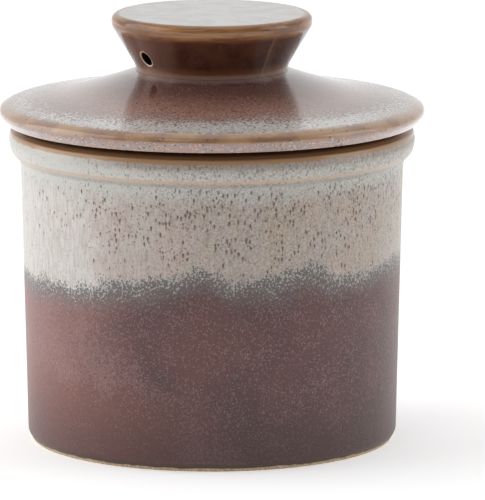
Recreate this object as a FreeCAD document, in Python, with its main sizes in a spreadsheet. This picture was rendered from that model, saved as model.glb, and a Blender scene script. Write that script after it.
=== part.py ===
"""Butter crock: a stoneware pot that holds water, and a lid that hangs an inverted butter cup in it.

Four fired-clay pieces are made here, each a body of revolution about +Z:
    crock_pot    the pot, with its foot ring, collar and sloping rim
    lid_plate    the round lid that rests on the pot's rim
    lid_knob     the hollow flared knob on the lid, with its vent
    butter_bell  the open-ended wall under the lid that holds the butter

Millimetres. The origin is the centre of the pot's foot, on the surface that the crock stands on.
"""

import FreeCAD, Part
import math
import os

import Sketcher

VECTOR = FreeCAD.Vector
EDGE_TOLERANCE = 0.01
H_AXIS = -1
V_AXIS = -2

# What the vent may take out of the slanting wall, as a share of a hole straight through it.
LEAST_DRILLED = 0.9
MOST_DRILLED = 2.0

# Driving dimensions: alias, value in mm (vent_turn in degrees), meaning.
DIMENSIONS = [
    # pot
    ("seat_height", 83.0, "pot foot to the land that the lid rests on"),
    ("pot_wall", 4.9, "pot wall thickness"),
    ("pot_floor", 6.0, "pot floor, measured from the standing surface"),
    ("base_radius", 47.85, "outside of the wall where it meets the base corner"),
    ("base_corner_height", 2.2, "height of the base corner"),
    ("base_round", 2.5, "rounding of the base corner"),
    ("foot_inset", 1.25, "foot ring inside the wall at the base"),
    ("foot_width", 5.4, "width of the flat foot ring"),
    ("foot_recess", 1.5, "recess of the underside within the foot ring"),
    ("shoulder_radius", 49.45, "outside of the wall just below the collar"),
    ("shoulder_height", 70.5, "height at which the wall begins to turn into the collar"),
    ("collar_radius", 52.55, "widest corner of the collar"),
    ("collar_foot_flare", 0.3, "outward drift of the wall up to the undercut"),
    ("collar_foot_drop", 9.75, "undercut below the seat"),
    ("collar_hip_inset", 0.47, "lower corner of the collar inside its widest corner"),
    ("collar_hip_drop", 7.5, "lower corner of the collar below the seat"),
    ("collar_hip_round", 4.0, "rounding of the collar's lower corner"),
    ("collar_belly_drop", 4.7, "widest corner of the collar below the seat"),
    ("collar_belly_round", 4.4, "rounding of the collar's widest corner"),
    ("rim_edge_inset", 0.4, "rim edge inside the collar's widest corner"),
    ("rim_edge_drop", 2.2, "rim edge below the seat"),
    ("rim_edge_round", 0.8, "rounding of the rim edge"),
    ("undercut_round", 0.8, "rounding of the undercut below the collar"),
    ("seat_radius", 47.9, "outside of the flat land that the lid rests on"),
    ("seat_round", 0.6, "rounding of the land's outer edge"),
    ("mouth_radius", 44.6, "inside of the wall at the mouth"),
    ("mouth_round", 1.3, "rounding of the mouth's inner edge"),
    ("well_round", 6.0, "rounding between the wall and the floor inside"),
    # lid plate, heights measured from its underside
    ("plate_thickness", 5.0, "thickness of the plate away from its edge"),
    ("crown_height", 13.4, "top of the plate, where the knob stands"),
    ("bend_radius", 36.0, "where the plate's slope eases towards the edge"),
    ("bend_height", 7.3, "height of that bend"),
    ("bend_round", 140.0, "long rounding that makes the slope one easy curve"),
    ("brow_radius", 53.05, "where the top turns down into the edge"),
    ("brow_height", 4.8, "height of that turn"),
    ("brow_round", 6.6, "rounding of that turn"),
    ("lid_radius", 55.8, "corner outside the lid's widest line, before rounding"),
    ("lid_edge_height", 3.06, "height of the lid's widest corner"),
    ("lid_edge_round", 1.6, "rounding of the lid's widest corner"),
    ("lid_foot_radius", 53.3, "outside of the plate's flat underside"),
    ("lid_foot_round", 0.4, "rounding of the underside's outer edge"),
    ("dome_wall", 3.0, "height of the upright step around the domed underside"),
    ("dome_round", 2.0, "rounding at the top of that step"),
    ("dome_shoulder", 18.5, "radius at which the domed underside becomes flat"),
    # knob, heights measured from the plate's crown
    ("knob_neck_radius", 19.75, "outside of the knob where it meets the plate"),
    ("knob_neck_height", 1.2, "height of the upright neck below the flare"),
    ("knob_neck_round", 4.1, "rounding between the neck and the flare"),
    ("knob_radius", 25.94, "widest radius of the knob"),
    ("knob_edge_height", 11.63, "height at which the knob is widest"),
    ("knob_height", 14.56, "top of the knob"),
    ("knob_wall", 4.2, "wall of the hollow knob"),
    ("knob_top_round", 1.7, "rounding of the knob's top edge"),
    ("knob_edge_round", 3.0, "rounding below the knob's widest line"),
    ("knob_hollow_radius", 21.1, "top corner of the hollow in the knob"),
    ("knob_hollow_round", 2.0, "rounding of that corner"),
    ("vent_diameter", 3.4, "firing vent through the knob's wall"),
    ("vent_height", 4.55, "height of the vent's centre"),
    ("vent_turn", 51.0, "vent's turn from -Y towards -X, in degrees"),
    # butter bell, measured down from the plate's underside
    ("bell_depth", 52.0, "depth of the bell"),
    ("bell_root_radius", 38.6, "outside of the bell at the plate"),
    ("bell_lip_radius", 37.6, "outside of the bell at its lip"),
    ("bell_wall", 4.0, "wall of the bell at the plate"),
    ("bell_lip_wall", 3.6, "wall of the bell at its lip"),
    ("bell_lip_round", 1.4, "rounding of the bell's lip"),
]


def make_sheet(document):
    """Put every driving dimension in the spreadsheet, with its alias and its meaning."""
    sheet = document.addObject("Spreadsheet::Sheet", "dims")
    for row, (alias, size, meaning) in enumerate(DIMENSIONS, start=1):
        sheet.set(f"A{row}", alias)
        sheet.set(f"B{row}", str(size))
        sheet.setAlias(f"B{row}", alias)
        sheet.set(f"C{row}", meaning)
    document.recompute()
    return sheet


def size_of(owner, expression):
    """The number that an expression on the sheet's aliases has now."""
    return float(owner.evalExpression(expression))


def origin_plane(body, role):
    """One of the body's own origin planes."""
    for feature in body.Origin.OriginFeatures:
        if feature.Role == role:
            return feature
    raise ValueError(f"{body.Label} has no {role}")


def attached_sketch(body, name, role):
    """An empty sketch on one of the body's origin planes."""
    sketch = body.newObject("Sketcher::SketchObject", name)
    sketch.AttachmentSupport = [(origin_plane(body, role), "")]
    sketch.MapMode = "FlatFace"
    return sketch


def pin_to(sketch, kind, line, expression, axis, name):
    """Hold a line's start on an axis where the expression is 0, else at that distance from the origin."""
    if expression == "0":
        sketch.addConstraint(Sketcher.Constraint("PointOnObject", line, 1, axis))
        return
    distance = size_of(sketch, expression)
    index = sketch.addConstraint(Sketcher.Constraint(kind, -1, 1, line, 1, distance))
    sketch.renameConstraint(index, name)
    sketch.setExpression(f"Constraints.{name}", expression)


def outline_sketch(body, corners):
    """A closed outline through corners, each an expression for its radius and one for its height."""
    sketch = attached_sketch(body, f"{body.Label}_outline", "XZ_Plane")
    points = [VECTOR(size_of(sketch, reach), size_of(sketch, rise), 0) for reach, rise in corners]
    count = len(points)
    for i in range(count):
        sketch.addGeometry(Part.LineSegment(points[i], points[(i + 1) % count]), False)
    for i in range(count):
        sketch.addConstraint(Sketcher.Constraint("Coincident", i, 2, (i + 1) % count, 1))
    for i, (reach, rise) in enumerate(corners):
        pin_to(sketch, "DistanceX", i, reach, V_AXIS, f"reach_{i}")
        pin_to(sketch, "DistanceY", i, rise, H_AXIS, f"rise_{i}")
    return sketch


def revolve(body, sketch):
    """Turn the outline a full turn about the body's Z axis."""
    turned = body.newObject("PartDesign::Revolution", f"{body.Label}_turned")
    turned.Profile = sketch
    turned.ReferenceAxis = (sketch, ["V_Axis"])
    turned.Angle = 360
    sketch.Visibility = False
    body.Document.recompute()
    return turned


def circle_at(shape, radius, height):
    """The name of the shape's circular edge with this radius at this height."""
    for number, edge in enumerate(shape.Edges, start=1):
        if not isinstance(edge.Curve, Part.Circle):
            continue
        radius_off = abs(edge.Curve.Radius - radius)
        height_off = abs(edge.Curve.Center.z - height)
        if radius_off < EDGE_TOLERANCE and height_off < EDGE_TOLERANCE:
            return f"Edge{number}"
    raise ValueError(f"no circular edge at radius {radius:.2f}, height {height:.2f}")


def round_corners(body, base, rounds):
    """Fillet corners of the turned body: for each, its radius, its height and the fillet's alias."""
    for reach, rise, alias in rounds:
        edge = circle_at(base.Shape, size_of(body, reach), size_of(body, rise))
        fillet = body.newObject("PartDesign::Fillet", f"{body.Label}_{alias}")
        fillet.Base = (base, [edge])
        fillet.setExpression("Radius", f"dims.{alias}")
        body.Document.recompute()
        base = fillet
    return base


def turned_body(document, label, corners, rounds, base_height="0"):
    """A body of revolution with rounded corners, stood at base_height."""
    body = document.addObject("PartDesign::Body", label)
    body.Label = label
    turned = revolve(body, outline_sketch(body, corners))
    round_corners(body, turned, rounds)
    if base_height != "0":
        body.setExpression("Placement.Base.z", base_height)
    return body


def make_crock_pot(document):
    foot_outside = "dims.base_radius - dims.foot_inset"
    foot_inside = f"{foot_outside} - dims.foot_width"
    recess_edge = f"{foot_inside} - dims.foot_recess"
    undercut = ("dims.shoulder_radius + dims.collar_foot_flare", "dims.seat_height - dims.collar_foot_drop")
    hip = ("dims.collar_radius - dims.collar_hip_inset", "dims.seat_height - dims.collar_hip_drop")
    belly = ("dims.collar_radius", "dims.seat_height - dims.collar_belly_drop")
    rim_edge = ("dims.collar_radius - dims.rim_edge_inset", "dims.seat_height - dims.rim_edge_drop")
    base_corner = ("dims.base_radius", "dims.base_corner_height")
    seat_edge = ("dims.seat_radius", "dims.seat_height")
    mouth = ("dims.mouth_radius", "dims.seat_height")
    well_corner = ("dims.base_radius - dims.pot_wall", "dims.pot_floor")
    corners = [
        ("0", "dims.foot_recess"),
        (recess_edge, "dims.foot_recess"),
        (foot_inside, "0"),
        (foot_outside, "0"),
        base_corner,
        ("dims.shoulder_radius", "dims.shoulder_height"),
        undercut,
        hip,
        belly,
        rim_edge,
        seat_edge,
        mouth,
        well_corner,
        ("0", "dims.pot_floor"),
    ]
    rounds = [
        (*base_corner, "base_round"),
        (*undercut, "undercut_round"),
        (*hip, "collar_hip_round"),
        (*belly, "collar_belly_round"),
        (*rim_edge, "rim_edge_round"),
        (*seat_edge, "seat_round"),
        (*mouth, "mouth_round"),
        (*well_corner, "well_round"),
    ]
    return turned_body(document, "crock_pot", corners, rounds)


def make_lid_plate(document):
    bell_inside = "dims.bell_root_radius - dims.bell_wall"
    bend = ("dims.bend_radius", "dims.bend_height")
    brow = ("dims.brow_radius", "dims.brow_height")
    edge = ("dims.lid_radius", "dims.lid_edge_height")
    underside_edge = ("dims.lid_foot_radius", "0")
    dome_edge = (bell_inside, "dims.dome_wall")
    dome_top = "dims.crown_height - dims.plate_thickness"
    corners = [
        ("0", dome_top),
        ("dims.dome_shoulder", dome_top),
        dome_edge,
        (bell_inside, "0"),
        underside_edge,
        edge,
        brow,
        bend,
        ("dims.knob_neck_radius", "dims.crown_height"),
        ("0", "dims.crown_height"),
    ]
    rounds = [
        (*bend, "bend_round"),
        (*brow, "brow_round"),
        (*edge, "lid_edge_round"),
        (*underside_edge, "lid_foot_round"),
        (*dome_edge, "dome_round"),
    ]
    return turned_body(document, "lid_plate", corners, rounds, "dims.seat_height")


def make_lid_knob(document):
    neck = ("dims.knob_neck_radius", "dims.knob_neck_height")
    edge = ("dims.knob_radius", "dims.knob_edge_height")
    top_edge = ("dims.knob_radius", "dims.knob_height")
    hollow_top = "dims.knob_height - dims.knob_wall"
    hollow_corner = ("dims.knob_hollow_radius", hollow_top)
    corners = [
        ("0", hollow_top),
        hollow_corner,
        ("dims.knob_neck_radius - dims.knob_wall", "dims.knob_neck_height"),
        ("dims.knob_neck_radius - dims.knob_wall", "0"),
        ("dims.knob_neck_radius", "0"),
        neck,
        edge,
        top_edge,
        ("0", "dims.knob_height"),
    ]
    rounds = [
        (*neck, "knob_neck_round"),
        (*edge, "knob_edge_round"),
        (*top_edge, "knob_top_round"),
        (*hollow_corner, "knob_hollow_round"),
    ]
    knob = turned_body(document, "lid_knob", corners, rounds, "dims.seat_height + dims.crown_height")
    cut_vent(knob)
    knob.Placement.Rotation = FreeCAD.Rotation(VECTOR(0, 0, 1), 0)
    knob.setExpression("Placement.Rotation.Angle", "-dims.vent_turn")
    return knob


def cut_vent(knob):
    """Drill the vent from the knob's axis out through the wall on its -Y side."""
    solid_volume = knob.Shape.Volume
    sketch = attached_sketch(knob, "lid_knob_vent_outline", "XZ_Plane")
    centre_height = size_of(sketch, "dims.vent_height")
    radius = size_of(sketch, "dims.vent_diameter") / 2
    sketch.addGeometry(Part.Circle(VECTOR(0, centre_height, 0), VECTOR(0, 0, 1), radius), False)
    sketch.addConstraint(Sketcher.Constraint("PointOnObject", 0, 3, V_AXIS))
    rise = sketch.addConstraint(Sketcher.Constraint("DistanceY", -1, 1, 0, 3, centre_height))
    sketch.renameConstraint(rise, "rise")
    sketch.setExpression("Constraints.rise", "dims.vent_height")
    width = sketch.addConstraint(Sketcher.Constraint("Diameter", 0, 2 * radius))
    sketch.renameConstraint(width, "width")
    sketch.setExpression("Constraints.width", "dims.vent_diameter")
    vent = knob.newObject("PartDesign::Pocket", "lid_knob_vent")
    vent.Profile = sketch
    vent.Type = "Length"
    vent.setExpression("Length", "dims.knob_radius")
    vent.Reversed = True
    knob.Document.recompute()
    drilled = solid_volume - knob.Shape.Volume
    straight_through = math.pi * radius**2 * size_of(knob, "dims.knob_wall")
    if not LEAST_DRILLED * straight_through < drilled < MOST_DRILLED * straight_through:
        raise ValueError(f"the vent removed {drilled:.1f} mm3 where about {straight_through:.1f} was expected")


def make_butter_bell(document):
    lip = "-dims.bell_depth"
    lip_outside = ("dims.bell_lip_radius", lip)
    lip_inside = ("dims.bell_lip_radius - dims.bell_lip_wall", lip)
    corners = [
        lip_inside,
        lip_outside,
        ("dims.bell_root_radius", "0"),
        ("dims.bell_root_radius - dims.bell_wall", "0"),
    ]
    rounds = [
        (*lip_outside, "bell_lip_round"),
        (*lip_inside, "bell_lip_round"),
    ]
    return turned_body(document, "butter_bell", corners, rounds, "dims.seat_height")


def check_document(document, parts):
    """Stop on any failed object, and on any part that isn't one valid solid."""
    for item in document.Objects:
        if "Invalid" in item.State or "Error" in item.State:
            raise ValueError(f"{item.Label} is {item.State}")
    for part in parts:
        shape = part.Shape
        if shape.isNull() or not shape.isValid() or len(shape.Solids) != 1:
            raise ValueError(f"{part.Label} is not one valid solid")


def write_parts(parts):
    os.makedirs("parts", exist_ok=True)
    for part in parts:
        part.Shape.exportStep(f"parts/{part.Label}.step")
        box = part.Shape.BoundBox
        print(f"{part.Label}: {part.Shape.Volume:.0f} mm3, from {box.ZMin:.2f} to {box.ZMax:.2f} mm high")


document = FreeCAD.newDocument("butter_crock")
make_sheet(document)
parts = [
    make_crock_pot(document),
    make_lid_plate(document),
    make_lid_knob(document),
    make_butter_bell(document),
]
document.recompute()
check_document(document, parts)
write_parts(parts)
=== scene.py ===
"""Looks of the butter crock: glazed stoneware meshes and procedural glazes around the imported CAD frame."""

import math

import bpy
import numpy as np
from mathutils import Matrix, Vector, noise


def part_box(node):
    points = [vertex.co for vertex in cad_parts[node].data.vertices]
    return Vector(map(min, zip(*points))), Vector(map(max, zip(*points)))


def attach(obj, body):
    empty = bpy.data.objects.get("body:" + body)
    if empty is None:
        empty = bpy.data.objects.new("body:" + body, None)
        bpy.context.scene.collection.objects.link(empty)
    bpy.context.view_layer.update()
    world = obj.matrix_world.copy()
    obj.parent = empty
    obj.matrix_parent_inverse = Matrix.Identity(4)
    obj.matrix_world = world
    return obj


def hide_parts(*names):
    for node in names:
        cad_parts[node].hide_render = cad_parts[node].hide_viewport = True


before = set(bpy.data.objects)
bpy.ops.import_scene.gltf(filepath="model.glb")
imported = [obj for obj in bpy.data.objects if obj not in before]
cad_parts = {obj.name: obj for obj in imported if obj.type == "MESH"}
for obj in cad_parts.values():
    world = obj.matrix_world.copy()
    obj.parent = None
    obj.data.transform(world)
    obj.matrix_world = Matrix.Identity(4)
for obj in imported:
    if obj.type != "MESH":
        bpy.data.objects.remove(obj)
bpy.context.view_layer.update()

MM = 0.001

# Heights in mm, read from the frame.
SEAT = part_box("lid_plate")[0].z / MM
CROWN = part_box("lid_knob")[0].z / MM
KNOB_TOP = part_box("lid_knob")[1].z / MM
BELL_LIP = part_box("butter_bell")[0].z / MM

# How finely outlines are divided: points round a ring, mm along a run, turn along an arc.
SEGMENTS = 320
RUN_STEP = 0.7
ARC_STEP = math.radians(7)
SEAM_TURN = math.radians(90)
ON_AXIS = 1e-6

# The slight unevenness of thrown clay: how far inward it goes at most, and the sizes of its two waves.
SETTLING = 0.1
KNOB_SETTLING = 0.06
SLOW_WAVE = 38
QUICK_WAVE = 11

# The vent through the knob's wall, level, from the axis out to the front left.
VENT_TURN = math.radians(51)
VENT_WAY = Vector((-math.sin(VENT_TURN), -math.cos(VENT_TURN), 0))
VENT_SIDE = Vector((math.cos(VENT_TURN), -math.sin(VENT_TURN), 0))
VENT_RADIUS = 1.7
VENT_HEIGHT = CROWN + 4.55
VENT_ROUND = 0.4
VENT_PATCH = 2.35
VENT_MARGIN = 0.15
VENT_SLEEVE = 1.5

# Where the glazes change, in mm.
HIP_LINE = SEAT - 7.85
RIM_EDGE = SEAT - 3.2
LID_EDGE = SEAT + 4.9
LID_BEVEL = SEAT + 2.7
KNOB_EDGE = KNOB_TOP - 3.95


# ---------------------------------------------------------------- outlines and turned meshes

def rounded(corners):
    """A dense outline in mm through corners (radius, height, rounding), with arcs at the rounded ones."""
    points = [np.array(corner[:2], float) for corner in corners]
    outline = []
    for i, point in enumerate(points):
        rounding = corners[i][2]
        if not rounding:
            outline.append(point)
            continue
        back = points[i - 1] - point
        ahead = points[(i + 1) % len(points)] - point
        back /= np.linalg.norm(back)
        ahead /= np.linalg.norm(ahead)
        corner_angle = math.acos(float(np.clip(back @ ahead, -1, 1)))
        tangent = rounding / math.tan(corner_angle / 2)
        middle = (back + ahead) / np.linalg.norm(back + ahead)
        centre = point + middle * rounding / math.sin(corner_angle / 2)
        start = point + back * tangent - centre
        end = point + ahead * tangent - centre
        swept = math.pi - corner_angle
        steps = max(2, math.ceil(swept / ARC_STEP), math.ceil(swept * rounding / RUN_STEP))
        for k in range(steps + 1):
            blend = start * (1 - k / steps) + end * (k / steps)
            outline.append(centre + blend * rounding / np.linalg.norm(blend))
    return outline


def divided(outline, closed):
    """The outline with its long straight runs divided."""
    dense = []
    last = len(outline) if closed else len(outline) - 1
    for i in range(last):
        a, b = outline[i], outline[(i + 1) % len(outline)]
        steps = max(1, math.ceil(np.linalg.norm(b - a) / RUN_STEP))
        dense += [a + (b - a) * k / steps for k in range(steps)]
    if not closed:
        dense.append(outline[-1])
    return dense


def settled(point, depth):
    """A point in mm moved in towards the axis by the slight unevenness of thrown clay."""
    slow = noise.noise(Vector(point) / SLOW_WAVE + Vector((3.1, 7.7, 1.3)))
    quick = noise.noise(Vector(point) / QUICK_WAVE + Vector((9.2, 0.4, 5.8)))
    inward = depth * (0.5 + 0.38 * slow + 0.12 * quick)
    radius = math.hypot(point[0], point[1])
    return (point[0] * (1 - inward / radius), point[1] * (1 - inward / radius), point[2])


def mesh_object(name, points, faces):
    mesh = bpy.data.meshes.new(name)
    mesh.from_pydata([tuple(c * MM for c in p) for p in points], [], faces)
    mesh.shade_smooth()
    mesh.update()
    piece = bpy.data.objects.new(name, mesh)
    bpy.context.scene.collection.objects.link(piece)
    return piece


def turned(corners, closed=False, depth=SETTLING):
    """Points and faces of an outline turned about Z. Outlines run anticlockwise in (radius, height)."""
    outline = divided(rounded(corners), closed)
    points, faces, rings = [], [], []
    for radius, height in outline:
        if radius < ON_AXIS:
            rings.append([len(points)])
            points.append((0.0, 0.0, height))
            continue
        rings.append(range(len(points), len(points) + SEGMENTS))
        for k in range(SEGMENTS):
            turn = SEAM_TURN + 2 * math.pi * k / SEGMENTS
            points.append(settled((radius * math.cos(turn), radius * math.sin(turn), height), depth))
    pairs = list(zip(rings, rings[1:]))
    if closed:
        pairs.append((rings[-1], rings[0]))
    for low, high in pairs:
        for k in range(SEGMENTS):
            n = (k + 1) % SEGMENTS
            if len(low) == 1:
                faces.append((low[0], high[n], high[k]))
            elif len(high) == 1:
                faces.append((low[k], low[n], high[0]))
            else:
                faces.append((low[k], low[n], high[n], high[k]))
    return points, faces


def pot_piece():
    corners = [
        (0, 1.5, 0), (39.7, 1.5, 0.6), (41.2, 0, 0.4), (46.6, 0, 0.3), (47.85, 2.2, 2.5),
        (49.45, 70.5, 0), (49.75, SEAT - 9.75, 0.8), (52.08, SEAT - 7.5, 4.0), (52.55, SEAT - 4.7, 4.4),
        (52.15, SEAT - 2.2, 0.8), (47.9, SEAT, 0.6), (44.6, SEAT, 1.3), (42.95, 6, 6), (0, 6, 0),
    ]
    piece = mesh_object("crock_pot_glazed", *turned(corners))
    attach(piece, "pot")
    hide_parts("crock_pot")
    return piece


def plate_piece():
    corners = [
        (0, SEAT + 8.4, 0), (18.5, SEAT + 8.4, 6), (34.6, SEAT + 3, 2), (34.6, SEAT, 0),
        (53.3, SEAT, 0.4), (55.8, SEAT + 3.06, 1.6), (53.05, SEAT + 4.8, 6.6), (36, SEAT + 7.3, 140),
        (19.75, CROWN, 0), (0, CROWN, 0),
    ]
    piece = mesh_object("lid_plate_glazed", *turned(corners))
    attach(piece, "lid")
    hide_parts("lid_plate")
    return piece


def on_cone(cone, across, rise):
    """The point on a cone of two (radius, height) ends that is across and rise from the vent's axis."""
    (low_radius, low), (high_radius, high) = cone
    radius = low_radius + (high_radius - low_radius) * (VENT_HEIGHT + rise - low) / (high - low)
    outward = math.sqrt(radius ** 2 - across ** 2)
    level = VENT_SIDE * across + VENT_WAY * outward
    return Vector((level.x, level.y, VENT_HEIGHT + rise))


def patch_rim(points, faces, cone):
    """Take out the faces of a cone's wall round the vent: the faces left, and the hole's rim in order."""
    def near_vent(face):
        middle = sum((Vector(points[i]) for i in face), Vector()) / len(face)
        across, rise = middle.dot(VENT_SIDE), middle.z - VENT_HEIGHT
        if abs(across) > VENT_PATCH or abs(rise) > VENT_PATCH or middle.dot(VENT_WAY) < 0:
            return False
        return (middle - on_cone(cone, across, rise)).length < 1
    removed = [face for face in faces if near_vent(face)]
    kept = [face for face in faces if not near_vent(face)]
    sides = [frozenset(pair) for face in removed for pair in zip(face, face[1:] + face[:1])]
    rim = {i for pair in sides if sides.count(pair) == 1 for i in pair}
    return kept, sorted(rim, key=lambda i: vent_angle(points[i]))


def vent_angle(point):
    return math.atan2(point[2] - VENT_HEIGHT, Vector(point).dot(VENT_SIDE))


def bridge(points, first, second):
    """Triangles between two rings of points round the vent, each in order of angle."""
    faces, i, j = [], 0, 0
    turns = [[vent_angle(points[k]) for k in ring] for ring in (first, second)]
    ends = [turns[0] + [turns[0][0] + math.tau], turns[1] + [turns[1][0] + math.tau]]
    while i < len(first) or j < len(second):
        a, b = first[i % len(first)], second[j % len(second)]
        if j == len(second) or (i < len(first) and ends[0][i + 1] <= ends[1][j + 1]):
            faces.append((a, first[(i + 1) % len(first)], b))
            i += 1
        else:
            faces.append((a, second[(j + 1) % len(second)], b))
            j += 1
    return faces


def without_loose(points, faces):
    """The points that a face uses, and the faces renumbered to them."""
    used = sorted({i for face in faces for i in face})
    renumbered = {old: new for new, old in enumerate(used)}
    return [points[i] for i in used], [[renumbered[i] for i in face] for face in faces]


def with_vent(points, faces, outer_cone, inner_cone):
    """Open the vent through the wall between two cones, with a rounded outer edge."""
    faces, rim = patch_rim(points, faces, outer_cone)
    faces, inner_rim = patch_rim(points, faces, inner_cone)
    turns = [vent_angle(points[i]) for i in rim]
    rounding = [math.radians(step) for step in range(0, 91, 15)]
    steps = [(VENT_RADIUS + VENT_ROUND + VENT_MARGIN, 0)]
    for turn in rounding:
        steps.append((VENT_RADIUS + VENT_ROUND * (1 - math.sin(turn)), VENT_ROUND * (1 - math.cos(turn))))
    steps.append((VENT_RADIUS, VENT_SLEEVE))
    for reach, depth in steps:
        ring = list(range(len(points), len(points) + len(turns)))
        for turn in turns:
            point = on_cone(outer_cone, reach * math.cos(turn), reach * math.sin(turn))
            points.append(tuple(Vector(settled(point, KNOB_SETTLING)) - VENT_WAY * depth))
        faces += bridge(points, rim, ring)
        rim = ring
    ring = list(range(len(points), len(points) + len(turns)))
    for turn in turns:
        inner = on_cone(inner_cone, VENT_RADIUS * math.cos(turn), VENT_RADIUS * math.sin(turn))
        points.append(tuple(inner))
    faces += bridge(points, rim, ring) + bridge(points, ring, inner_rim)
    return without_loose(points, faces)


def knob_piece():
    hollow_cone = [(15.55, CROWN + 1.2), (21.1, KNOB_TOP - 4.2)]
    flare_cone = [(19.75, CROWN + 1.2), (25.94, KNOB_TOP - 2.93)]
    corners = [
        (0, KNOB_TOP - 4.2, 0), (*hollow_cone[1], 2), (*hollow_cone[0], 0), (15.55, CROWN, 0),
        (19.75, CROWN, 0), (*flare_cone[0], 4.1), (*flare_cone[1], 3), (25.94, KNOB_TOP, 1.7),
        (0, KNOB_TOP, 0),
    ]
    points, faces = turned(corners, depth=KNOB_SETTLING)
    piece = mesh_object("lid_knob_glazed", *with_vent(points, faces, flare_cone, hollow_cone))
    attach(piece, "lid")
    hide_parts("lid_knob")
    return piece


def bell_piece():
    corners = [
        (34.0, BELL_LIP, 1.4), (37.6, BELL_LIP, 1.4), (38.6, SEAT, 0), (34.6, SEAT, 0),
    ]
    piece = mesh_object("butter_bell_glazed", *turned(corners, closed=True))
    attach(piece, "lid")
    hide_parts("butter_bell")
    return piece


# ---------------------------------------------------------------- glazes

def paint(red, green, blue):
    """A colour given as 0 to 255 on a screen, as the linear colour that a shader takes."""
    def linear(level):
        level /= 255
        return level / 12.92 if level <= 0.04045 else ((level + 0.055) / 1.055) ** 2.4
    return (linear(red), linear(green), linear(blue), 1)


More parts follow.
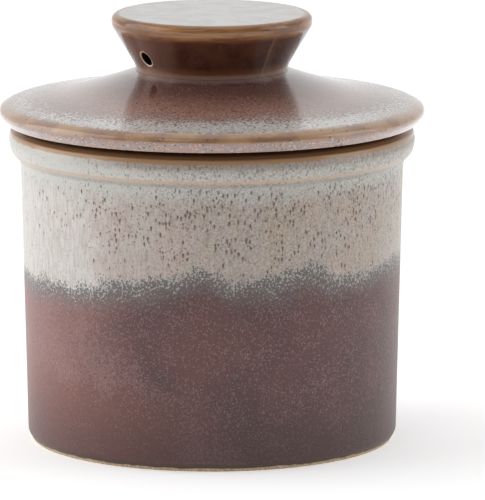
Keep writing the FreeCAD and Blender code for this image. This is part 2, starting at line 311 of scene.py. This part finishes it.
class Glaze:
    """A procedural glaze over a turned piece. Places and sizes are in mm in the frame."""

    def __init__(self, name):
        self.material = bpy.data.materials.new(name)
        self.material.use_nodes = True
        self.tree = self.material.node_tree
        self.shader = self.tree.nodes["Principled BSDF"]
        where = self.node("ShaderNodeTexCoord").outputs["Object"]
        self.place = self.vector("SCALE", where, 1 / MM)
        self.x, self.y, self.z = self.node("ShaderNodeSeparateXYZ", {0: self.place}).outputs
        self.radius = self.length(self.x, self.y)
        self.turn = self.math("ARCTAN2", self.x, self.scaled(self.y, -1))

    def node(self, kind, inputs=None, **settings):
        made = self.tree.nodes.new(kind)
        for key, setting in settings.items():
            setattr(made, key, setting)
        for key, feed in (inputs or {}).items():
            if isinstance(feed, bpy.types.NodeSocket):
                self.tree.links.new(feed, made.inputs[key])
            else:
                made.inputs[key].default_value = feed
        return made

    def math(self, operation, a, b=0.0):
        return self.node("ShaderNodeMath", {0: a, 1: b}, operation=operation).outputs[0]

    def vector(self, operation, a, b):
        key = "Scale" if operation == "SCALE" else 1
        return self.node("ShaderNodeVectorMath", {0: a, key: b}, operation=operation).outputs[0]

    def plus(self, *terms):
        total = terms[0]
        for term in terms[1:]:
            total = self.math("ADD", total, term)
        return total

    def scaled(self, value, factor):
        return self.math("MULTIPLY", value, factor)

    def length(self, a, b):
        return self.math("SQRT", self.plus(self.math("POWER", a, 2), self.math("POWER", b, 2)))

    def larger(self, *values):
        top = values[0]
        for value in values[1:]:
            top = self.math("MAXIMUM", top, value)
        return top

    def fade(self, value, start, end, low=0.0, high=1.0):
        """Goes smoothly from low to high as value goes from start to end."""
        feeds = {"Value": value, "From Min": start, "From Max": end, "To Min": low, "To Max": high}
        return self.node("ShaderNodeMapRange", feeds, interpolation_type="SMOOTHSTEP").outputs[0]

    def band(self, value, centre, width, softness, high=1.0):
        """High where value is within width of centre, 0 beyond."""
        away = self.math("ABSOLUTE", self.math("SUBTRACT", value, centre))
        return self.fade(away, width + softness, width, 0, high)

    def spread(self, size, upright, seed):
        """The place in units of size, drawn out upright along Z, moved on by seed."""
        units = self.vector("MULTIPLY", self.place, (1 / size, 1 / size, 1 / (size * upright)))
        return self.vector("ADD", units, (seed, seed * 1.7, seed * 0.6))

    def noise(self, size, detail=2.0, upright=1.0, seed=0.0):
        here = self.spread(size, upright, seed)
        feeds = {"Vector": here, "Scale": 1.0, "Detail": detail, "Roughness": 0.55}
        return self.node("ShaderNodeTexNoise", feeds).outputs[0]

    def sway(self, size, reach, detail=2.0, upright=1.0, seed=0.0):
        """A noise from about -reach to reach."""
        return self.scaled(self.math("SUBTRACT", self.noise(size, detail, upright, seed), 0.5), 3 * reach)

    def grains(self, share, size, upright=1.0, seed=0.0, softness=0.05):
        """Fine grains that cover this share of the surface."""
        level = self.fade(share, 0, 1, 0.72, 0.28)
        above = self.math("SUBTRACT", self.noise(size, 1.0, upright, seed), level)
        return self.fade(above, -softness, softness)

    def specks(self, size, share, reach=0.4, upright=1.0, tail=0.0, seed=0.0, softness=0.5):
        """Specks in this share of cells of this size, each with a tail thinning downwards if tail is set."""
        here = self.spread(size, upright, seed)
        cells = self.node("ShaderNodeTexVoronoi", {"Vector": here, "Scale": 1.0})
        drawn = self.node("ShaderNodeSeparateColor", {0: cells.outputs["Color"]}).outputs[0]
        chosen = self.fade(self.plus(drawn, share), 1.0, 1.08)
        offset = self.vector("SUBTRACT", here, cells.outputs["Position"])
        across, along, rise = self.node("ShaderNodeSeparateXYZ", {0: offset}).outputs
        flat = self.length(across, along)
        if tail:
            below = self.larger(self.scaled(rise, -1), 0.0)
            rise = self.larger(rise, 0.0)
            flat = self.plus(flat, self.scaled(below, reach / tail))
        away = self.length(flat, rise)
        return self.scaled(chosen, self.fade(away, reach, reach * (1 - softness)))

    def mix(self, factor, a, b):
        made = self.node("ShaderNodeMix", {0: factor, 6: a, 7: b}, data_type="RGBA")
        return made.outputs[2]

    def blend(self, factor, a, b):
        return self.node("ShaderNodeMix", {0: factor, 2: a, 3: b}, data_type="FLOAT").outputs[0]

    def finish(self, colour, roughness, height, coat, coat_roughness):
        """Colour and roughness as nodes, and the surface's height in mm as bump."""
        bump = self.node("ShaderNodeBump", {"Height": height, "Strength": 1.0, "Distance": MM})
        self.tree.links.new(colour, self.shader.inputs["Base Color"])
        self.tree.links.new(roughness, self.shader.inputs["Roughness"])
        self.tree.links.new(bump.outputs[0], self.shader.inputs["Normal"])
        self.shader.inputs["Coat Weight"].default_value = coat
        self.shader.inputs["Coat Roughness"].default_value = coat_roughness
        return self.material


CLAY = paint(196, 174, 146)
CLAY_DARK = paint(168, 144, 116)
DARK_LINE = paint(66, 42, 28)
TAN = paint(168, 130, 94)

# The brown glaze inside, under the lid and on the bell.
BROWN_DARK = paint(80, 54, 42)
BROWN = paint(104, 70, 50)
BROWN_STREAK = paint(130, 92, 64)
BROWN_PIT = paint(64, 42, 34)
BROWN_SPECK = paint(142, 108, 80)
BELL_LIP_TAN = paint(172, 130, 90)

# The pot: cream above, maroon below, ash between them, tan on its edges.
# The cream: paler and cleaner on the left, duller on the right, partly the glaze's own change and partly
# painted light and shade.
CREAM_CLEAN_LIT = paint(207, 204, 199)
CREAM_DULL_SHADED = paint(188, 180, 170)
LILAC = paint(194, 178, 173)
BEIGE = paint(190, 172, 155)
HIP_GREY = paint(195, 194, 188)
RIM_BEIGE = paint(150, 132, 118)
STREAK = paint(158, 138, 124)
GRIT = paint(112, 98, 88)
SPECK_BROWN = paint(96, 64, 44)
SPECK_GREY = paint(94, 88, 80)
MAROON_DARK = paint(82, 53, 53)
MAROON = paint(93, 59, 57)
# Painted light: the maroon painted paler on the left side.
MAROON_LIT_LEFT = paint(140, 91, 85)
RED_BROWN = paint(128, 75, 64)
FLECK = paint(150, 117, 114)
PINK_DOT = paint(184, 158, 152)
MAROON_PIT = paint(64, 44, 44)
# Painted shade near the floor: the maroon darker towards the foot.
MAROON_FOOT_SHADE = paint(60, 37, 36)
ASH_DARK = paint(97, 91, 91)
ASH = paint(170, 167, 162)
HIP_TAN = paint(196, 160, 128)
# Painted shade under the collar's lower edge.
HIP_SHADE = paint(120, 108, 98)
# Tan thin glaze on the rim's slope, painted lighter as painted light under the lid's edge.
RIM_TAN_LIT = paint(170, 128, 90)
# Painted shadow of the gap under the lid's edge, on the rim's top.
RIM_SHADE = paint(64, 42, 31)

# The lid: brown top, silvery frost, tan edge, mauve bevel.
LID_BROWN = paint(99, 61, 51)
LID_ROSE = paint(155, 110, 94)
LID_FLECK = paint(160, 132, 122)
LID_PIT = paint(88, 60, 55)
# A pale pool of glaze at the knob's foot, partly a painted reflection.
LID_POOL_AND_REFLECTION = paint(176, 158, 158)
FROST_GAP = paint(134, 105, 97)
FROST = paint(216, 212, 208)
FROST_PIT = paint(92, 70, 66)
FROST_BROWN = paint(160, 125, 112)
EDGE_BROWN = paint(150, 109, 78)
EDGE_TAN = paint(180, 140, 100)
EDGE_SPECK = paint(92, 60, 50)
MAUVE = paint(164, 133, 121)
MAUVE_GREY = paint(151, 130, 124)
MAUVE_PALE = paint(196, 176, 164)
MAUVE_BROWN = paint(112, 74, 62)
MAUVE_SPECK = paint(74, 52, 46)

# The knob: dark stem, tan edge, grey pool on top, and the vent.
STEM_DARK = paint(62, 33, 25)
STEM = paint(86, 51, 37)
STEM_GREY = paint(88, 60, 60)
# Painted light on the stem's left side.
STEM_LIT_WARM = paint(112, 68, 46)
STEM_FOOT = paint(134, 84, 48)
PALE_RUN = paint(140, 98, 60)
KNOB_TAN_DARK = paint(122, 78, 46)
KNOB_TAN = paint(168, 120, 78)
POOL = paint(200, 199, 196)
POOL_DULL = paint(186, 182, 177)
POOL_SPECK = paint(158, 142, 130)
# Pale thin glaze on the vent's rounded edge, painted near-white as a highlight.
VENT_RIM_AND_HIGHLIGHT = paint(238, 208, 178)
# Painted shade inside the vent's bore.
VENT_BORE_SHADE = paint(44, 27, 20)


def plain_brown(g, seed):
    """Colour of the glossy brown glaze inside the pot, on the bell and under the lid."""
    colour = g.mix(g.fade(g.noise(26, 3, seed=seed), 0.35, 0.65), BROWN_DARK, BROWN)
    colour = g.mix(g.fade(g.noise(1.2, 3, 4, seed=seed + 2), 0.4, 0.75, 0, 0.35), colour, BROWN_STREAK)
    colour = g.mix(g.grains(0.2, 0.7, seed=seed + 4), colour, BROWN_PIT)
    return g.mix(g.scaled(g.specks(1.4, 0.3, 0.32, seed=seed + 8), 0.7), colour, BROWN_SPECK)


def cream_glaze(g, side):
    """Upper glaze of the pot: cream with brown specks that ran, lilac and beige where it is thinner, paler
    on its left partly as painted light.
    """
    lilac = g.plus(g.noise(6, 3, 1.5, seed=13), g.band(g.turn, -0.35, 0.2, 0.3, 0.12))
    lilac = g.fade(lilac, 0.46, 0.66, 0, 0.8)
    beige = g.fade(g.noise(7, 3, 1.4, seed=23), 0.42, 0.6)
    # Paler on the left and duller on the right: partly the glaze, partly painted light from the left and
    # painted shade on the right.
    colour = g.mix(g.fade(side, -38, -8), CREAM_CLEAN_LIT, CREAM_DULL_SHADED)
    colour = g.mix(g.scaled(lilac, g.fade(side, -40, -22, 0.1, 1.0)), colour, LILAC)
    colour = g.mix(g.scaled(beige, g.fade(side, -16, 12, 0.1, 0.75)), colour, BEIGE)
    below_hip = g.fade(g.plus(g.z, g.sway(5, 1, seed=24)), SEAT - 16, SEAT - 11, 0, 0.85)
    colour = g.mix(below_hip, colour, HIP_GREY)
    rim_wall = g.fade(g.plus(g.z, g.sway(2, 0.6, seed=25)), SEAT - 6, SEAT - 3.8, 0, 0.6)
    colour = g.mix(g.scaled(rim_wall, g.fade(side, -44, -14, 0.2, 1.0)), colour, RIM_BEIGE)
    streaks = g.fade(g.noise(0.7, 2, 5, seed=5), 0.36, 0.7, 0, 0.42)
    colour = g.mix(g.scaled(streaks, g.fade(g.z, SEAT - 10, SEAT - 14)), colour, STREAK)
    gritty = g.grains(g.fade(side, -40, 4, 0.22, 0.52), 0.52, seed=2, softness=0.08)
    colour = g.mix(gritty, colour, g.mix(0.34, colour, GRIT))

    crowd = g.fade(g.noise(5, 2, seed=17), 0.36, 0.62, 0.25, 1.0)
    crowd = g.scaled(crowd, g.fade(g.plus(g.z, g.sway(8, 6, seed=19)), SEAT - 32, SEAT - 20, 0.35, 1.0))
    crowd = g.scaled(crowd, g.fade(side, -42, -4, 0.2, 1.0))
    runs = g.specks(1.0, crowd, 0.4, 1.7, tail=0.9, seed=3)
    dots = g.specks(0.72, g.scaled(crowd, 0.75), 0.42, 1.3, seed=8)
    tint = g.fade(g.z, SEAT - 13, SEAT - 10, 0, 1)
    speck = g.mix(tint, SPECK_BROWN, SPECK_GREY)
    marks = g.larger(g.scaled(runs, g.fade(g.z, SEAT - 12, SEAT - 8, 0.9, 0.45)), g.scaled(dots, 0.62))
    return g.mix(marks, colour, speck), marks


def maroon_glaze(g, side):
    """Lower glaze of the pot: maroon with fine pinkish flecks, clearer red-brown where it is thin, with
    painted light on its left and painted shade towards the foot.
    """
    thin = g.scaled(g.band(g.turn, -0.85, 0.3, 0.75), g.fade(g.plus(g.z, g.sway(9, 6, seed=41)), 28, 10))
    thin = g.larger(thin, g.fade(g.noise(30, 1, seed=44), 0.5, 0.85, 0, 0.5))
    colour = g.mix(g.fade(g.noise(14, 3, seed=43), 0.35, 0.66), MAROON_DARK, MAROON)
    # Painted light: the maroon is painted paler on the left, where the light falls.
    colour = g.mix(g.fade(side, -16, -44, 0, 0.9), colour, MAROON_LIT_LEFT)
    colour = g.mix(g.scaled(thin, 0.7), colour, RED_BROWN)
    slant = g.band(g.plus(g.z, g.scaled(g.x, 0.9), g.sway(9, 4, seed=46)), -3, 5, 14, 0.2)
    crowd = g.plus(g.fade(g.noise(7, 3, seed=47), 0.3, 0.7, 0.28, 0.44), slant)
    crowd = g.scaled(crowd, g.fade(thin, 0.2, 0.8, 1.0, 0.5))
    flecks = g.grains(crowd, 0.5, seed=49, softness=0.06)
    colour = g.mix(g.scaled(flecks, 0.42), colour, FLECK)
    dots = g.specks(0.66, g.fade(g.noise(8, 2, seed=51), 0.35, 0.65, 0.15, 0.6), 0.4, seed=53)
    colour = g.mix(g.scaled(dots, 0.3), colour, PINK_DOT)
    colour = g.mix(g.grains(0.35, 0.6, seed=55, softness=0.1), colour, g.mix(0.3, colour, MAROON_PIT))
    # Painted shade: the maroon darkens towards the foot, near the floor.
    return g.mix(g.fade(g.z, 24, 1.5, 0, 0.6), colour, MAROON_FOOT_SHADE)


def pot_glaze():
    g = Glaze("pot_reactive_glaze")
    side = g.plus(g.x, g.sway(17, 8, seed=11))
    cream, marks = cream_glaze(g, side)

    # The two glazes overlap in a wavy granular grey band, which fades down into the maroon.
    peaks = g.plus(g.band(g.turn, -0.05, 0.0, 0.17, 4.0), g.band(g.turn, 0.54, 0.0, 0.22, 2.8))
    line = g.plus(g.sway(13, 2.4, 3, seed=31), peaks, g.fade(side, -42, -12, 41.4, 45.4))
    above = g.math("SUBTRACT", g.z, line)
    cover = g.fade(g.plus(above, g.sway(2.2, 1.4, seed=33)), 8.5, 0.5)
    grey = g.grains(cover, 0.55, upright=1.25, seed=35, softness=0.05)
    ash = g.mix(g.grains(g.fade(above, -1, 7, 0.3, 0.58), 0.55, seed=37), ASH_DARK, ASH)
    colour = g.mix(g.scaled(grey, 0.95), cream, ash)
    low = g.fade(g.plus(above, g.sway(3, 1.0, seed=39)), 3.5, -4.5)
    colour = g.mix(low, colour, maroon_glaze(g, side))

    # Edges where the glaze runs thin, the rim, the inside and the foot, with painted shade under the collar
    # and a painted shadow where the lid sits on the rim.
    height = g.plus(g.z, g.sway(4, 0.35, seed=59))
    colour = g.mix(g.band(g.z, HIP_LINE, 0.16, 0.42, 0.72), colour, HIP_TAN)
    # Painted shade in a dark band under the collar's lower edge.
    colour = g.mix(g.band(g.z, SEAT - 9.0, 0.25, 0.8, 0.4), colour, HIP_SHADE)
    rim_edge = g.fade(height, RIM_EDGE - 0.3, RIM_EDGE + 0.3)
    colour = g.mix(rim_edge, colour, TAN)
    inside_rim = g.fade(g.plus(g.radius, g.sway(4, 0.3, seed=60)), 51.9, 51.4)
    rim_top = g.scaled(inside_rim, g.fade(g.z, SEAT - 2.5, SEAT - 1.9))
    hollow = g.scaled(g.fade(g.radius, 46.4, 45.4), g.fade(g.z, 3.0, 3.6))
    underneath = g.scaled(g.fade(g.radius, 41.0, 40.4), g.fade(g.z, 3.6, 3.0))
    brown = g.larger(rim_top, hollow, underneath)
    colour = g.mix(brown, colour, plain_brown(g, 61))
    # Tan thin glaze on the rim's slope, painted lighter away from the lid as painted light.
    colour = g.mix(g.scaled(rim_top, g.fade(g.z, SEAT - 0.9, SEAT - 1.7, 0, 0.95)), colour, RIM_TAN_LIT)
    # Painted shadow: the rim's top darkens towards where the lid sits, as the gap under its edge.
    lid_gap_shadow = g.scaled(rim_top, g.fade(g.z, SEAT - 1.7, SEAT - 0.6, 0, 0.8))
    colour = g.mix(lid_gap_shadow, colour, RIM_SHADE)
    outside = g.fade(g.radius, 46.0, 46.2)
    colour = g.mix(g.scaled(outside, g.fade(height, 2.4, 1.5)), colour, DARK_LINE)
    bare = g.scaled(g.fade(g.radius, 40.6, 41.2), g.fade(height, 1.0, 0.75))
    colour = g.mix(bare, colour, g.mix(g.grains(0.5, 0.6, seed=63), CLAY, CLAY_DARK))

    gloss = g.blend(low, 0.32, 0.38)
    gloss = g.blend(grey, gloss, 0.46)
    gloss = g.blend(g.larger(brown, rim_edge), gloss, 0.16)
    gloss = g.plus(gloss, g.sway(0.6, 0.05, seed=65))
    gloss = g.blend(bare, gloss, 0.9)
    relief = g.plus(g.sway(2.6, 0.016, seed=71), g.scaled(marks, -0.03), g.scaled(bare, -0.12))
    relief = g.plus(relief, g.sway(0.6, 0.006, seed=73))
    return g.finish(colour, gloss, relief, coat=0.18, coat_roughness=0.3)


def lid_glaze():
    g = Glaze("lid_reactive_glaze")

    # Brown top, darker near the knob, with a pale lilac pool at its foot that is partly a painted
    # reflection.
    reach = g.plus(g.radius, g.sway(12, 2.0, 3, seed=15))
    top = g.mix(g.fade(reach, 24, 38), LID_BROWN, LID_ROSE)
    top = g.mix(g.grains(g.fade(reach, 24, 44, 0.08, 0.5), 0.6, seed=5), top, LID_FLECK)
    top = g.mix(g.grains(0.25, 0.8, seed=6), top, LID_PIT)
    # Pooled glaze at the knob's foot, partly a painted reflection.
    pool = g.fade(g.plus(g.radius, g.sway(3, 0.9, seed=7)), 22.6, 20.6, 0, 0.4)
    colour = g.mix(pool, top, LID_POOL_AND_REFLECTION)

    # Crystals grow together into a silvery ring inside the edge.
    ring = g.grains(g.fade(g.plus(reach, g.sway(2, 1.0, seed=8)), 29, 51), 0.55, seed=12, softness=0.09)
    front = g.band(g.turn, 0.1, 0.5, 0.7, 0.2)
    share = g.plus(g.fade(reach, 41, 51, 0.24, 0.52), front, g.sway(8, 0.06, seed=11))
    crystals = g.grains(share, 0.68, seed=9, softness=0.06)
    frost = g.mix(crystals, FROST_GAP, FROST)
    frost = g.mix(g.grains(0.24, 0.62, seed=10, softness=0.05), frost, FROST_PIT)
    frost = g.mix(g.fade(reach, 39, 47.5, 0.7, 0), frost, FROST_BROWN)
    colour = g.mix(ring, colour, frost)

    # Tan edge, mauve bevel, brown underside.
    edge = g.fade(g.plus(g.z, g.sway(1.4, 0.32, 3, seed=19)), LID_EDGE + 0.25, LID_EDGE - 0.25)
    edge = g.scaled(edge, g.fade(g.radius, 49, 50))
    tan = g.mix(g.fade(g.noise(7, 3, seed=23), 0.35, 0.65), EDGE_BROWN, EDGE_TAN)
    tan = g.mix(g.scaled(g.specks(1.1, 0.25, 0.36, seed=27), 0.8), tan, EDGE_SPECK)
    colour = g.mix(edge, colour, tan)
    mauve = g.mix(g.fade(g.noise(6, 3, seed=33), 0.4, 0.62), MAUVE, MAUVE_GREY)
    mauve = g.mix(g.grains(0.3, 0.55, seed=34), mauve, MAUVE_PALE)
    thin = g.fade(g.noise(9, 2, seed=35), 0.5, 0.62, 0.02, 0.4)
    mauve = g.mix(g.grains(thin, 0.7, seed=36), mauve, MAUVE_BROWN)
    mauve = g.mix(g.scaled(g.specks(1.3, 0.3, 0.3, seed=37), 0.85), mauve, MAUVE_SPECK)
    bevel = g.fade(g.plus(g.z, g.sway(2, 0.2, seed=38)), LID_BEVEL + 0.2, LID_BEVEL - 0.2)
    colour = g.mix(bevel, colour, mauve)
    under_slope = g.plus(g.z, g.scaled(g.radius, 0.335))
    dome = g.scaled(g.fade(g.radius, 34.9, 34.5), g.fade(under_slope, SEAT + 18, SEAT + 16.5))
    under = g.larger(g.fade(g.z, SEAT + 0.12, SEAT + 0.04), dome)
    colour = g.mix(under, colour, plain_brown(g, 65))

    gloss = g.blend(ring, 0.2, 0.34)
    gloss = g.blend(g.larger(edge, bevel, under), gloss, 0.18)
    gloss = g.plus(gloss, g.sway(0.6, 0.04, seed=66))
    relief = g.plus(g.sway(3.2, 0.02, seed=75), g.scaled(g.scaled(crystals, ring), 0.02))
    return g.finish(colour, gloss, relief, coat=1.0, coat_roughness=0.15)


def knob_glaze():
    g = Glaze("knob_brown_glaze")
    wander = g.sway(7, 0.45, 3, seed=14)

    # Dark stem, warmer low down, painted lighter on its left as painted light, with one thin pale run.
    stem = g.mix(g.fade(g.noise(6, 3, seed=12), 0.3, 0.65), STEM_DARK, STEM)
    grey = g.fade(g.noise(4, 2, seed=13), 0.4, 0.65, 0.0, 0.32)
    stem = g.mix(g.grains(grey, 0.5, seed=16), stem, STEM_GREY)
    # Painted light: the stem is painted lighter and warmer on its left, where the light falls.
    stem = g.mix(g.band(g.turn, -1.3, 0.35, 0.8, 0.75), stem, STEM_LIT_WARM)
    stem = g.mix(g.scaled(g.fade(g.plus(g.z, wander), CROWN + 3.6, CROWN + 0.8), 0.6), stem, STEM_FOOT)
    run = g.band(g.plus(g.turn, g.sway(6, 0.03, seed=22)), 0.70, 0.006, 0.03)
    stem = g.mix(g.scaled(run, 0.45), stem, PALE_RUN)

    # The glaze breaks to tan round the edge and pools grey on the flat top.
    tan = g.mix(g.fade(g.noise(11, 3, 0.12, seed=24), 0.36, 0.66), KNOB_TAN_DARK, KNOB_TAN)
    colour = g.mix(g.fade(g.plus(g.z, wander), KNOB_EDGE - 0.95, KNOB_EDGE + 0.95), stem, tan)
    pool = g.mix(g.fade(g.noise(5, 3, seed=26), 0.4, 0.65), POOL, POOL_DULL)
    pool = g.mix(g.grains(0.18, 0.6, seed=27), pool, POOL_SPECK)
    rim = g.fade(g.plus(g.radius, g.sway(5, 0.4, seed=29)), 24.3, 23.5)
    flat = g.scaled(g.fade(g.z, KNOB_TOP - 0.35, KNOB_TOP - 0.2), rim)
    colour = g.mix(flat, colour, pool)

    # The vent's edge is pale thin glaze with a painted highlight, and its bore has painted shade.
    across = g.plus(g.scaled(g.x, VENT_SIDE.x), g.scaled(g.y, VENT_SIDE.y))
    outward = g.plus(g.scaled(g.x, VENT_WAY.x), g.scaled(g.y, VENT_WAY.y))
    from_axis = g.length(across, g.math("SUBTRACT", g.z, VENT_HEIGHT))
    # The vent's rounded edge: pale thin glaze, painted near-white as a painted highlight.
    near = g.scaled(g.fade(outward, 8, 10), g.fade(from_axis, VENT_RADIUS + 0.5, VENT_RADIUS + 0.3))
    colour = g.mix(g.scaled(near, 0.9), colour, VENT_RIM_AND_HIGHLIGHT)
    # Painted shade: the bore is painted dark.
    bore = g.scaled(g.fade(outward, 8, 10), g.fade(from_axis, VENT_RADIUS + 0.12, VENT_RADIUS + 0.02))
    colour = g.mix(bore, colour, VENT_BORE_SHADE)

    gloss = g.plus(0.1, g.sway(0.8, 0.02, seed=30))
    gloss = g.blend(flat, gloss, 0.16)
    relief = g.plus(g.sway(3.0, 0.02, seed=76), g.scaled(run, 0.05))
    return g.finish(colour, gloss, relief, coat=0.12, coat_roughness=0.06)


def bell_glaze():
    g = Glaze("bell_brown_glaze")
    lip = g.fade(g.plus(g.z, g.sway(4, 0.6, seed=6)), BELL_LIP + 2.4, BELL_LIP + 1.0)
    colour = g.mix(lip, plain_brown(g, 81), BELL_LIP_TAN)
    gloss = g.plus(0.16, g.sway(2, 0.04, seed=83))
    relief = g.plus(g.sway(3.0, 0.02, seed=85), g.sway(0.7, 0.003, seed=86))
    return g.finish(colour, gloss, relief, coat=0.2, coat_roughness=0.1)


# ---------------------------------------------------------------- stage, light, camera

# The camera's lens in mm and its place and target in m, and the strengths of floor and studio.
LENS_LENGTH = 479.5
CAMERA_PLACE = (0, -1.7, 0.355)
CAMERA_TARGET = (0.0079, 0, 0.0488)
FLOOR_GLOW = 0.38
FRONT_LIGHT = 0.15
BACK_LIGHT = 1.05


def stage():
    bpy.ops.mesh.primitive_plane_add(size=8)
    floor = bpy.context.object
    floor.name = "floor"
    paper = bpy.data.materials.new("white_paper")
    paper.use_nodes = True
    shader = paper.node_tree.nodes["Principled BSDF"]
    shader.inputs["Base Color"].default_value = (0.93, 0.93, 0.93, 1)
    shader.inputs["Roughness"].default_value = 0.9
    shader.inputs["Specular IOR Level"].default_value = 0.1
    shader.inputs["Emission Color"].default_value = (1, 1, 1, 1)
    shader.inputs["Emission Strength"].default_value = FLOOR_GLOW
    floor.data.materials.append(paper)


def aim(thing, target):
    thing.rotation_euler = (Vector(target) - thing.location).to_track_quat("-Z", "Y").to_euler()


def softbox(name, place, target, width, height, power):
    lamp = bpy.data.lights.new(name, "AREA")
    lamp.shape = "RECTANGLE"
    lamp.size = width
    lamp.size_y = height
    lamp.energy = power
    thing = bpy.data.objects.new(name, lamp)
    thing.location = place
    bpy.context.scene.collection.objects.link(thing)
    aim(thing, target)


def surroundings():
    """A white studio: bright behind and at the sides, dim on the camera's side, white to look at."""
    world = bpy.data.worlds.new("studio")
    bpy.context.scene.world = world
    world.use_nodes = True
    tree = world.node_tree
    nodes, links = tree.nodes, tree.links
    nodes.clear()
    where = nodes.new("ShaderNodeTexCoord")
    split = nodes.new("ShaderNodeSeparateXYZ")
    links.new(where.outputs["Generated"], split.inputs[0])
    front = nodes.new("ShaderNodeMapRange")
    front.interpolation_type = "SMOOTHSTEP"
    front.inputs["From Min"].default_value = -0.75
    front.inputs["From Max"].default_value = 0.35
    front.inputs["To Min"].default_value = FRONT_LIGHT
    front.inputs["To Max"].default_value = BACK_LIGHT
    links.new(split.outputs["Y"], front.inputs["Value"])
    light = nodes.new("ShaderNodeBackground")
    links.new(front.outputs["Result"], light.inputs["Strength"])
    seen = nodes.new("ShaderNodeBackground")
    path = nodes.new("ShaderNodeLightPath")
    choose = nodes.new("ShaderNodeMixShader")
    out = nodes.new("ShaderNodeOutputWorld")
    links.new(path.outputs["Is Camera Ray"], choose.inputs[0])
    links.new(light.outputs[0], choose.inputs[1])
    links.new(seen.outputs[0], choose.inputs[2])
    links.new(choose.outputs[0], out.inputs["Surface"])


def camera():
    lens = bpy.data.cameras.new("camera")
    lens.sensor_width = 36
    lens.lens = LENS_LENGTH
    lens.clip_end = 20
    thing = bpy.data.objects.new("camera", lens)
    thing.location = CAMERA_PLACE
    bpy.context.scene.collection.objects.link(thing)
    aim(thing, CAMERA_TARGET)
    bpy.context.scene.camera = thing


pot = pot_piece()
plate = plate_piece()
knob = knob_piece()
bell = bell_piece()
pot.data.materials.append(pot_glaze())
plate.data.materials.append(lid_glaze())
knob.data.materials.append(knob_glaze())
bell.data.materials.append(bell_glaze())
stage()
surroundings()
softbox("key_left", (-1.1, 0.0, 0.55), (0, 0, 0.06), 1.3, 1.3, 8)
softbox("fill_right", (1.0, -0.1, 0.5), (0, 0, 0.06), 0.6, 0.8, 2)
softbox("glint_front", (-0.4, -0.9, 1.15), (0, 0, 0.1), 0.4, 0.13, 0.9)
camera()
bpy.context.scene.view_settings.view_transform = "Standard"
